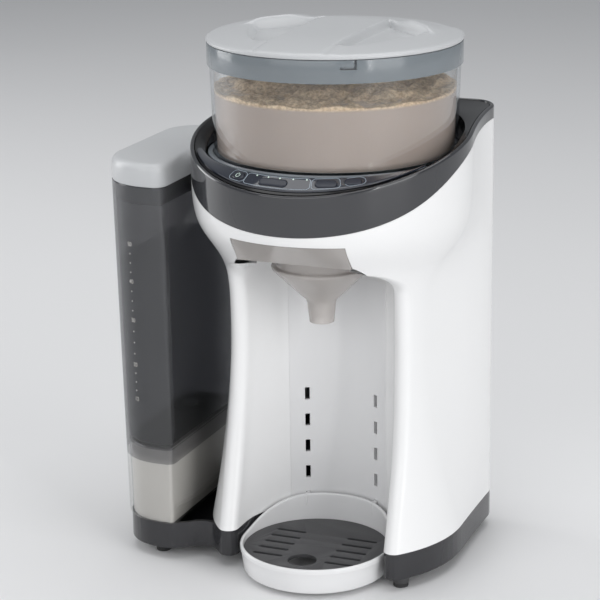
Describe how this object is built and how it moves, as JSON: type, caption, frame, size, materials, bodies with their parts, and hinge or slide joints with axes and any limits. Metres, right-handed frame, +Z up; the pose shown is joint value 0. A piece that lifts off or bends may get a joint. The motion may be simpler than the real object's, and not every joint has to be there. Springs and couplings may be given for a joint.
{
  "type": "baby formula maker",
  "caption": "Counter-top baby formula maker: water tank at the left, clear powder canister with a lid on top, key strip, funnel over an open bottle bay and a drip tray.",
  "frame": {"origin": "centre of the object's box, on the surface that the feet stand on", "axes": "+Z up, -Y to the front where the bottle bay opens, +X to the right; the water tank is at -X"},
  "size_m": [0.2449, 0.1919, 0.3777],
  "materials": {
    "white_plastic": "glossy white moulded plastic",
    "bay_white": "pale grey white moulded plastic",
    "dark_base": "dark charcoal gloss plastic",
    "dark_ring": "dark charcoal gloss plastic",
    "black_deck": "black gloss plastic",
    "panel_film": "glossy blue black panel",
    "key_plastic": "soft dark keys with pale outlines",
    "rubber_feet": "matt black rubber",
    "foot_plastic": "dark plastic",
    "steel": "plain steel",
    "brass": "plain brass",
    "clear_canister": "clear moulded plastic",
    "collar_plastic": "smoky blue translucent plastic",
    "lid_grey": "light grey satin plastic",
    "inner_white": "plain white plastic",
    "seal": "soft grey silicone",
    "seat_grey": "grey plastic",
    "funnel_smoke": "translucent warm grey plastic",
    "tray_white": "glossy white moulded plastic",
    "grille_dark": "matt charcoal plastic",
    "clear_tank": "clear smoky plastic",
    "tank_lid_grey": "light grey satin plastic",
    "pedestal_grey": "warm light grey plastic",
    "board_green": "printed circuit board",
    "pump_dark": "plain dark plastic",
    "inlet_black": "black plastic",
    "tube_clear": "silicone tube"
  },
  "bodies": {
    "frame": {"base_pan": "dark_base", "feet": "foot_plastic", "foot_pads": "rubber_feet", "housing_shell": "white_plastic", "bay_back_panel": "bay_white", "rear_cover": "white_plastic", "cover_screws": "steel", "power_inlet": "inlet_black", "top_ring": "dark_ring", "top_deck": "black_deck", "control_panel": "panel_film", "panel_board": "board_green", "canister_seat": "seat_grey", "shaft_bush": "brass", "gearmotor": "steel", "motor_bracket": "steel", "powder_chute": "inner_white", "water_nozzle": "inner_white", "funnel_rails": "inner_white", "tank_pedestal": "pedestal_grey", "pedestal_pin": "inner_white", "water_pump": "pump_dark", "pump_cradle": "pump_dark", "heater": "steel", "heater_stand": "pump_dark", "main_board": "board_green", "water_tube": "tube_clear"},
    "canister": {"canister_body": "clear_canister", "canister_collar": "collar_plastic", "hopper_ring": "inner_white"},
    "canister_lid": {"canister_lid": "lid_grey", "lid_seal": "seal"},
    "dosing_wheel": {"dosing_wheel": "inner_white", "stirrer": "inner_white", "hub_nut": "steel"},
    "drive_shaft": {"drive_shaft": "steel", "drive_gear": "inner_white"},
    "motor_pinion": {"motor_pinion": "brass"},
    "tank": {"tank_body": "clear_tank", "valve_seat": "seal"},
    "tank_lid": {"tank_lid": "tank_lid_grey"},
    "valve_plunger": {"valve_plunger": "inner_white"},
    "funnel": {"funnel": "funnel_smoke"},
    "drip_tray": {"drip_tray": "tray_white"},
    "drip_grille": {"drip_grille": "grille_dark"},
    "power_key": {"power_key": "key_plastic"},
    "volume_key": {"volume_key": "key_plastic"},
    "start_key": {"start_key": "key_plastic"},
    "info_key": {"info_key": "key_plastic"}
  },
  "joints": [
    {"name": "canister_lift", "type": "slide", "parent": "frame", "child": "canister", "axis": [0, 0, 1], "range_m": [0, 0.09]},
    {"name": "canister_lid_lift", "type": "slide", "parent": "canister", "child": "canister_lid", "axis": [0, 0, 1], "range_m": [0, 0.06]},
    {"name": "dosing_wheel_spin", "type": "hinge", "parent": "canister", "child": "dosing_wheel", "pos_m": [0.027, 0.006, 0.294], "axis": [0, 0, 1], "continuous": true},
    {"name": "drive_shaft_spin", "type": "hinge", "parent": "frame", "child": "drive_shaft", "pos_m": [0.027, 0.006, 0.28], "axis": [0, 0, 1], "continuous": true},
    {"name": "motor_pinion_spin", "type": "hinge", "parent": "frame", "child": "motor_pinion", "pos_m": [0.027, 0.0312, 0.278], "axis": [0, 0, 1], "continuous": true},
    {"name": "tank_lift", "type": "slide", "parent": "frame", "child": "tank", "axis": [0, 0, 1], "range_m": [0, 0.08]},
    {"name": "tank_lid_lift", "type": "slide", "parent": "tank", "child": "tank_lid", "axis": [0, 0, 1], "range_m": [0, 0.05]},
    {"name": "tank_valve_push", "type": "slide", "parent": "tank", "child": "valve_plunger", "axis": [0, 0, 1], "range_m": [0, 0.003], "stiffness_N_per_m": 100, "springref_m": -0.002},
    {"name": "funnel_slide", "type": "slide", "parent": "frame", "child": "funnel", "axis": [0, -1, 0], "range_m": [0, 0.09]},
    {"name": "drip_tray_slide", "type": "slide", "parent": "frame", "child": "drip_tray", "axis": [0, -1, 0], "range_m": [0, 0.06]},
    {"name": "drip_grille_lift", "type": "slide", "parent": "drip_tray", "child": "drip_grille", "axis": [0, 0, 1], "range_m": [0, 0.03]},
    {"name": "power_key_press", "type": "slide", "parent": "frame", "child": "power_key", "axis": [0.195, 0.4951, -0.8466], "range_m": [0, 0.0008], "stiffness_N_per_m": 400, "springref_m": -0.0002},
    {"name": "volume_key_press", "type": "slide", "parent": "frame", "child": "volume_key", "axis": [0.0481, 0.6118, -0.7895], "range_m": [0, 0.0008], "stiffness_N_per_m": 400, "springref_m": -0.0002},
    {"name": "start_key_press", "type": "slide", "parent": "frame", "child": "start_key", "axis": [-0.1679, 0.5391, -0.8253], "range_m": [0, 0.0008], "stiffness_N_per_m": 400, "springref_m": -0.0002},
    {"name": "info_key_press", "type": "slide", "parent": "frame", "child": "info_key", "axis": [-0.2154, 0.4051, -0.8885], "range_m": [0, 0.0008], "stiffness_N_per_m": 400, "springref_m": -0.0002}
  ],
  "couplings": [
    {"joint": "drive_shaft_spin", "follows": "dosing_wheel_spin", "ratio": 1},
    {"joint": "motor_pinion_spin", "follows": "dosing_wheel_spin", "ratio": -2.5}
  ]
}
